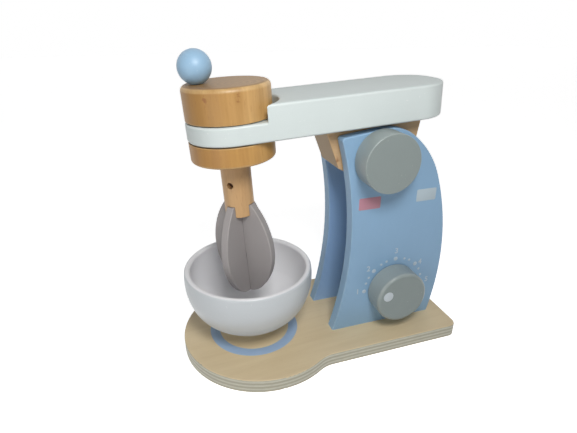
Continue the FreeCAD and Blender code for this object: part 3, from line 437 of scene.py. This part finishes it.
# side: painted light, edges and sides lighter than the faces; the white paint's faces darker for
# the dimmer arm top
bluePaint = {"paint": "8baecc", "side": "92b6d6", "rubbedAndSheen": "a9c4d6", "rubAndSheen": 0.5, "clouds": 0.10,
             "grain": 0.6, "roughness": 0.46, "relief": 0.00003}
whitePaint = {"paint": "c9d3d1", "side": "d4dddb", "rubbedAndSheen": "eef0ee", "rubAndSheen": 0.3,
              "clouds": 0.05, "grain": 0.4, "roughness": 0.42, "relief": 0.00003}
greyPaint = {"paint": "818c8a", "side": "97a1a0", "rubbedAndSheen": "b3bcba", "rubAndSheen": 0.6, "clouds": 0.08,
             "grain": 0.35, "roughness": 0.34, "relief": 0.00003}
whiskPaint = {"paint": "a19c9b", "rubbedAndSheen": "aca6a2", "rubAndSheen": 0.5, "clouds": 0.08, "grain": 0.45,
              "roughness": 0.5, "relief": 0.00003}
ballPaint = {"paint": "98bbd6", "rubbedAndSheen": "b9d2e2", "rubAndSheen": 0.0, "clouds": 0.06, "grain": 0.1,
             "roughness": 0.4, "relief": 0.000015}

droop = 3.38    # degrees, the slope of the arm at rest
armUp = (-math.sin(math.radians(droop)), 0, math.cos(math.radians(droop)))
sideways = (0, 1, 0)

# each piece: its paint, the middle and the turn of its grain, and the way its face looks
dialPanel = dict(bluePaint, centre=(0.05, 0, 0.1), turn=(0, -84, 0), axis=sideways)
# painted light: the plain panel's paint is a paler, bluer copy, for light reaching its shaded
# inner face
plainPanel = dict(bluePaint, paint="90b2da", centre=(0.02, 0.03, 0.2), turn=(0, -95, 0),
                  axis=sideways)
arm = dict(whitePaint, centre=(0, 0.01, 0.2), turn=(0, -droop, 0), axis=armUp)
# painted light: the pivot knob's grey is a lighter copy of the dial knob's, for the light on it
pivotKnob = dict(greyPaint, paint="889290", centre=middle("pivot_knob"), turn=(0, 0, 90),
                 axis=sideways)
dialKnob = dict(greyPaint, centre=middle("dial_knob"), turn=(0, 20, 90), axis=sideways)
ball = dict(ballPaint, centre=middle("crank_ball"), turn=(0, -90, 30), axis=(0, 0, 1))
dress(paintMaterial("dialPanelBlue", dialPanel), "dial_side_panel")
dress(paintMaterial("plainPanelBlue", plainPanel), "plain_side_panel")
dress(paintMaterial("armWhite", arm), "arm_board")
dress(paintMaterial("pivotKnobGrey", pivotKnob), "pivot_knob")
dress(paintMaterial("dialKnobGrey", dialKnob), "dial_knob")
dress(paintMaterial("ballBlue", ball), "crank_ball")

bladeAngles = {"whisk_blade_one": -136.5, "whisk_blade_two": -46.5}     # round the head axis
for node, angle in bladeAngles.items():
    across = (math.sin(math.radians(angle)), -math.cos(math.radians(angle)), 0)
    blade = dict(whiskPaint, centre=middle(node), turn=(0, -90, angle), axis=across)
    dress(paintMaterial(node + "_grey", blade), node)

# far is a paler tone towards +X over the sweep, painted light for the side that gets more light;
# knots are places and radii in mm
beech = {"pale": "a27837", "far": "d1a972", "paintedLightSweep": (-0.1, -0.045), "deep": "9e7334",
         "endTone": "7d6346", "fleckTone": "8a5428", "wearAndSheenTone": "d9b984", "wearAndSheen": 0.55,
         "knots": (), "rings": 210, "ringDepth": 0.1, "streaks": 0.32, "flecks": 0.16,
         "relief": 0.00003, "wax": 0.18}
dowel = dict(beech, pale="a98559", far=None, deep="7a5a36", endTone="5f4629", wearAndSheen=0.0)
upGrain = (0, -90 - droop, 0)

headAxis = middle("head_upper_disc")
upperDisc = dict(beech, pale="a87a38", far="d6ac70", deep="9b6f32", streaks=0.42, flecks=0.22,
                 knots=(((-90.2, -25.5, 220.5), 1.9), ((-69.1, -32.0, 221.9), 1.8)),
                 centre=headAxis + Vector((0.006, -0.011, 0)), turn=upGrain, axis=armUp)
lowerDisc = dict(beech, pale="b0803b", far="cb9e5a", deep="9a6930", streaks=0.45,
                 centre=headAxis + Vector((-0.008, 0.009, 0)), turn=(40, -90 - droop, 0),
                 axis=armUp)
shaft = dict(beech, pale="cda573", far=None, deep="a97c4c", wearAndSheen=0.2,
             centre=middle("whisk_shaft") + Vector((0.015, 0.012, 0)), turn=upGrain, axis=armUp)
block = dict(beech, pale="c9a67c", far=None, deep="a5835c", endTone="80693f", rings=240,
             flecks=0.3, wearAndSheen=0.2, knots=(((9.6, -18, 168.3), 2.4),),
             centre=middle("hinge_block") + Vector((0, 0.02, -0.03)), turn=(0, -droop, 0),
             axis=(1, 0, 0))
spindle = dict(dowel, centre=middle("head_spindle"), turn=upGrain, axis=armUp)
axle = dict(dowel, centre=middle("pivot_axle"), turn=(0, 0, 90), axis=sideways)
# painted shade: the pin's wood is made near black, as dark as the shaded hole it sits in
pin = dict(beech, pale="5a3a22", far=None, deep="38220f", endTone="2c1a0c", wearAndSheen=0.0,
           centre=middle("shaft_pin"), turn=(0, 0, 0), axis=(1, 0, 0))
dress(woodMaterial("upperDiscBeech", upperDisc), "head_upper_disc")
dress(woodMaterial("lowerDiscBeech", lowerDisc), "head_lower_disc")
dress(woodMaterial("shaftBeech", shaft), "whisk_shaft")
dress(woodMaterial("blockWood", block), "hinge_block")
dress(woodMaterial("dowelWood", spindle), "head_spindle", "ball_peg")
dress(woodMaterial("pinPaintedShade", pin), "shaft_pin")
dress(woodMaterial("axleWood", axle), "pivot_axle")
print("wood and paint dressed")

hardware = {"steel": "a9abad", "steelDull": "7e8183", "nylon": "dcdcd6", "nylonHaze": "b8b8b0",
            "smear": 420, "scratch": 5200, "haze": 300, "texture": 2600, "relief": 0.00001}


def makeSteel():
    material, tree, shader, source, turned = startMaterial("zincSteel")
    smear = noise(tree, turned, hardware["smear"], 3)
    scratch = noise(tree, stretch(tree, turned, (1, 0.1, 1)), hardware["scratch"])
    color = mixColors(tree, soften(tree, smear, 0.3, 0.75), linear(hardware["steel"]),
                      linear(hardware["steelDull"]))
    rough = soften(tree, scratch, 0.2, 0.8, 0.28, 0.46)
    finishMaterial(tree, shader, color, rough, scratch, hardware["relief"])
    shader.inputs["Metallic"].default_value = 1.0
    return material


def makeNylon():
    material, tree, shader, source, turned = startMaterial("nylonWhite")
    haze = noise(tree, turned, hardware["haze"], 3)
    color = mixColors(tree, soften(tree, haze, 0.3, 0.7, 0, 0.25), linear(hardware["nylon"]),
                      linear(hardware["nylonHaze"]))
    rough = soften(tree, haze, 0.2, 0.8, 0.42, 0.55)
    texture = noise(tree, turned, hardware["texture"])
    finishMaterial(tree, shader, color, rough, texture, hardware["relief"])
    return material


dress(makeSteel(), "panel_screws", "block_screws", "axle_lock_pin", "dial_screw")
dress(makeNylon(), "pivot_washers", "head_washers", "dial_outer_washer", "dial_inner_washer")
print("hardware dressed")

marks = {
    "proud": 0.10 * mm,         # above the panel
    "sunk": 0.05 * mm,          # into the panel
    "centre": (65.4 * mm, 47.4 * mm),       # x and z of the print's middle
    "dotCircle": 28.8 * mm,
    "bigDot": 1.95 * mm,
    "smallDot": 1.15 * mm,
    "digitSize": 7.2 * mm,
    "digitBold": 0.12 * mm,
    "digits": {"1": (178, 35.3), "2": (138.7, 34.9), "3": (90, 36.6), "4": (39.5, 33.3),
               "5": (1, 35.3)},     # angle and distance in mm
    "bigAngles": (179, 136, 90, 44),
    "smallAngles": (163, 151, 119, 108, 72, 61, 29, 15),
}
markHeight = marks["proud"] + marks["sunk"]
ink = {"paint": "b7c6d2", "rubbedAndSheen": "b4c4d0", "rubAndSheen": 0.3, "clouds": 0.25, "grain": 0.5,
       "roughness": 0.5, "relief": 0.00002, "centre": (0, 0, 0), "turn": (0, -84, 0),
       "axis": sideways}
inkMaterial = paintMaterial("markInk", ink)
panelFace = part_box("dial_side_panel")[0].y
dialCentre = middle("dial_knob")


def begin():
    bpy.ops.object.select_all(action="DESELECT")


def raiseOutline(piece, height):
    # in edit mode, thickens a flat outline upwards and bevels its upper rim
    bpy.ops.mesh.select_mode(type="FACE")
    bpy.ops.mesh.select_all(action="SELECT")
    bpy.ops.mesh.extrude_region_move(TRANSFORM_OT_translate={"value": (0, 0, height)})
    bpy.ops.mesh.select_all(action="SELECT")
    bpy.ops.mesh.normals_make_consistent(inside=False)
    bpy.ops.mesh.select_mode(type="EDGE")
    bpy.ops.mesh.select_all(action="DESELECT")
    mesh = bmesh.from_edit_mesh(piece.data)
    for edge in mesh.edges:     # the sharp edges of the upper face
        upper = all(vertex.co.z > height / 2 for vertex in edge.verts)
        edge.select_set(upper and edge.calc_face_angle(0.0) > 0.5)
    bmesh.update_edit_mesh(piece.data)
    bpy.ops.mesh.bevel(offset=height * 0.45, segments=2, affect="EDGES")


def placeMark(piece, name, place, facingPanel, body, material):
    # turns a flat mark to its face, bakes its place into its mesh and lets it ride
    piece.name = name
    piece.rotation_euler = (math.radians(90), 0, 0) if facingPanel else (0, 0, 0)
    piece.location = place
    piece.select_set(True)
    bpy.context.view_layer.objects.active = piece
    bpy.ops.object.transform_apply(location=True, rotation=True, scale=True)
    bpy.ops.object.shade_smooth_by_angle(angle=math.radians(35))
    piece.data.materials.clear()
    piece.data.materials.append(material)
    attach(piece, body)
    return piece


def addDisc(name, place, radius, body, material, sides):
    begin()
    bpy.ops.mesh.primitive_circle_add(vertices=sides, radius=radius, fill_type="NGON",
                                      location=(0, 0, 0))
    piece = bpy.context.object
    bpy.ops.object.mode_set(mode="EDIT")
    bpy.ops.mesh.select_all(action="SELECT")
    raiseOutline(piece, markHeight)
    bpy.ops.object.mode_set(mode="OBJECT")
    return placeMark(piece, name, place, True, body, material)


def onDial(radius, angle):
    # a place on the panel's face around the dial
    a = math.radians(angle)
    x, z = marks["centre"]
    return Vector((x + radius * math.cos(a), panelFace + marks["sunk"], z + radius * math.sin(a)))


def addDots(name, radius, angles, sides):
    # one dot is modelled, the others are copies with their own meshes
    first = addDisc(name + "1", onDial(marks["dotCircle"], angles[0]), radius, "stand",
                    inkMaterial, sides)
    for index, angle in enumerate(angles[1:], start=2):
        begin()
        first.select_set(True)
        bpy.context.view_layer.objects.active = first
        bpy.ops.object.duplicate(linked=False)
        dot = bpy.context.object
        dot.name = name + str(index)
        step = onDial(marks["dotCircle"], angle) - onDial(marks["dotCircle"], angles[0])
        dot.data.transform(Matrix.Translation(step))
        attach(dot, "stand")


addDots("dialDotBig", marks["bigDot"], marks["bigAngles"], 32)
addDots("dialDotSmall", marks["smallDot"], marks["smallAngles"], 24)


def addDigit(text, angle, radius):
    begin()
    bpy.ops.object.text_add(location=(0, 0, 0))
    letter = bpy.context.object
    letter.data.body = text
    letter.data.size = marks["digitSize"]
    letter.data.align_x, letter.data.align_y = "CENTER", "CENTER"
    letter.data.extrude = markHeight / 2
    letter.data.offset = marks["digitBold"]
    bpy.ops.object.convert(target="MESH")
    piece = bpy.context.object
    bpy.ops.object.mode_set(mode="EDIT")
    bpy.ops.mesh.select_all(action="SELECT")
    bpy.ops.mesh.remove_doubles(threshold=0.002 * mm)      # joins the stroke's seams
    bpy.ops.mesh.normals_make_consistent(inside=False)
    bpy.ops.object.mode_set(mode="OBJECT")
    place = onDial(radius * mm, angle)
    place.y -= markHeight / 2
    placeMark(piece, "dialDigit" + text, place, True, "stand", inkMaterial)


for text, (angle, radius) in marks["digits"].items():
    addDigit(text, angle, radius)
print("dial marks made")

labels = {      # corners in mm, x and z
    "pinkLabel": {"low": (25.6, 127.7), "high": (45.1, 138.0), "corner": 1.1, "paint": "bd8795"},
    "whiteLabel": {"low": (78.8, 128.7), "high": (97.6, 139.5), "corner": 1.1, "paint": "b5c4cc"},
}


def addLabel(name, look):
    begin()
    width, height = [(look["high"][i] - look["low"][i]) * mm for i in (0, 1)]
    bpy.ops.mesh.primitive_plane_add(size=1, location=(0, 0, 0))
    piece = bpy.context.object
    piece.scale = (width, height, 1)
    bpy.ops.object.transform_apply(location=True, rotation=True, scale=True)
    bpy.ops.object.mode_set(mode="EDIT")
    bpy.ops.mesh.select_all(action="SELECT")
    bpy.ops.mesh.bevel(offset=look["corner"] * mm, segments=5, affect="VERTICES")
    raiseOutline(piece, markHeight)
    bpy.ops.object.mode_set(mode="OBJECT")
    place = Vector(((look["low"][0] + look["high"][0]) / 2 * mm, panelFace + marks["sunk"],
                    (look["low"][1] + look["high"][1]) / 2 * mm))
    material = paintMaterial(name + "Paint", dict(ink, paint=look["paint"], rubbedAndSheen="c4ccd2",
                                                  clouds=0.2))
    placeMark(piece, name, place, True, "stand", material)


for name, look in labels.items():
    addLabel(name, look)

pointer = {"radius": 4.6 * mm, "fromAxis": 15.1 * mm, "angle": 162, "paint": "c3ccd1"}
pointerInk = dict(ink, paint=pointer["paint"], clouds=0.1, turn=(0, 0, 0))
pointerTurn = math.radians(pointer["angle"])
pointerPlace = Vector((dialCentre.x + pointer["fromAxis"] * math.cos(pointerTurn),
                       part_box("dial_knob")[0].y + marks["sunk"],
                       dialCentre.z + pointer["fromAxis"] * math.sin(pointerTurn)))
addDisc("dialPointer", pointerPlace, pointer["radius"], "dial",
        paintMaterial("pointerPaint", pointerInk), 48)
print("labels and pointer made")

ring = {"outer": 39.5 * mm, "inner": 31.2 * mm, "centre": (-58.1 * mm, 0.0), "sides": 128}
ringPaint = dict(bluePaint, paint="9fb9d8", clouds=0.2, grain=0.9, rubAndSheen=0.0, centre=(0, 0, 0),
                 turn=(0, 0, 0), axis=(0, 0, 1))


def addRing():
    begin()
    bpy.ops.mesh.primitive_circle_add(vertices=ring["sides"], radius=ring["outer"],
                                      fill_type="NGON", location=(0, 0, 0))
    piece = bpy.context.object
    bpy.ops.object.mode_set(mode="EDIT")
    bpy.ops.mesh.select_mode(type="FACE")
    bpy.ops.mesh.select_all(action="SELECT")
    bpy.ops.mesh.inset(thickness=ring["outer"] - ring["inner"])
    bpy.ops.mesh.delete(type="FACE")
    raiseOutline(piece, markHeight)
    bpy.ops.object.mode_set(mode="OBJECT")
    x, y = ring["centre"]
    place = Vector((x, y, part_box("base_board")[1].z - marks["sunk"]))
    placeMark(piece, "bowlRing", place, False, "stand",
              paintMaterial("ringBlue", ringPaint))


addRing()
print("bowl ring made")

studio = {
    "floorSize": 8.0,
    "floorPaint": 0.9,
    "floorRoughness": 0.9,
    "floorShine": 0.1,
    "floorGlow": 0.84,      # lifts the floor to white for the camera
    "horizon": 0.24,        # even light from all round, weaker from above
    "zenith": 0.08,
    "behind": 1.1,          # added low down on the far side
    "key": {"place": (-0.065, -0.335, 0.47), "size": 0.15, "power": 1.53},
    "fill": {"place": (-0.45, -0.36, 0.15), "size": 0.35, "power": 0.5},
}


def seenRay(tree):
    # 1 where a camera, mirror or glass ray meets the surface
    path = tree.nodes.new("ShaderNodeLightPath").outputs
    seen = calc(tree, "ADD", path["Is Camera Ray"], path["Is Glossy Ray"], clamp=True)
    return calc(tree, "ADD", seen, path["Is Transmission Ray"], clamp=True)


def makeStudio():
    begin()
    bpy.ops.mesh.primitive_plane_add(size=studio["floorSize"], location=(0, 0, 0))
    floor = bpy.context.object
    floor.name = "floor"
    paper = bpy.data.materials.new("floorPaper")
    paper.use_nodes = True
    tree = paper.node_tree
    shader = tree.nodes["Principled BSDF"]
    shader.inputs["Base Color"].default_value = [studio["floorPaint"]] * 3 + [1]
    shader.inputs["Roughness"].default_value = studio["floorRoughness"]
    shader.inputs["Specular IOR Level"].default_value = studio["floorShine"]
    glow = put(tree, "Emission", {"Strength": calc(tree, "MULTIPLY", seenRay(tree),
                                                   studio["floorGlow"])})
    both = put(tree, "AddShader", {0: shader.outputs[0], 1: glow})
    tree.links.new(both, tree.nodes["Material Output"].inputs["Surface"])
    floor.data.materials.append(paper)

    world = bpy.data.worlds.new("studioSky")
    bpy.context.scene.world = world
    world.use_nodes = True
    tree = world.node_tree
    way = tree.nodes.new("ShaderNodeTexCoord").outputs["Generated"]
    up = put(tree, "SeparateXYZ", {0: way}, outlet=2)
    back = put(tree, "SeparateXYZ", {0: way}, outlet=1)
    back = soften(tree, back, 0.3, 0.9, 0, studio["behind"])
    sky = calc(tree, "ADD", soften(tree, up, 0.0, 0.8, studio["horizon"], studio["zenith"]),
               calc(tree, "MULTIPLY", back, soften(tree, up, 0.1, 0.5, 1, 0)))
    strength = put(tree, "Mix", {0: seenRay(tree), 2: sky, 3: 1.0})
    background = tree.nodes["Background"]
    background.inputs["Color"].default_value = (1, 1, 1, 1)
    tree.links.new(strength, background.inputs["Strength"])

    target = (cadBox[0] + cadBox[1]) / 2
    for name in ("key", "fill"):
        look = studio[name]
        begin()
        bpy.ops.object.light_add(type="AREA", location=look["place"])
        lamp = bpy.context.object
        lamp.name = name
        lamp.data.size = look["size"]
        lamp.data.energy = look["power"]
        aim = target - lamp.location
        lamp.rotation_euler = aim.to_track_quat("-Z", "Y").to_euler()


makeStudio()

eye = {
    "place": (-127.18 * mm, -314.95 * mm, 267.53 * mm),
    "yaw": 0.31507141, "pitch": 0.42533149, "roll": -0.00309684,  # radians
    "lens": 26.93, "sensor": 36.0, "near": 10 * mm,
}


def makeCamera():
    begin()
    bpy.ops.object.camera_add()
    camera = bpy.context.object
    camera.name = "camera"
    turn = (Matrix.Rotation(-eye["yaw"], 4, "Z")
            @ Matrix.Rotation(math.pi / 2 - eye["pitch"], 4, "X")
            @ Matrix.Rotation(eye["roll"], 4, "Z"))
    camera.matrix_world = Matrix.Translation(eye["place"]) @ turn
    camera.data.sensor_fit = "HORIZONTAL"
    camera.data.sensor_width = eye["sensor"]
    camera.data.lens = eye["lens"]
    camera.data.clip_start = eye["near"]
    bpy.context.scene.camera = camera


makeCamera()
bpy.context.scene.view_settings.view_transform = "Standard"
print("studio and camera set")

begin()
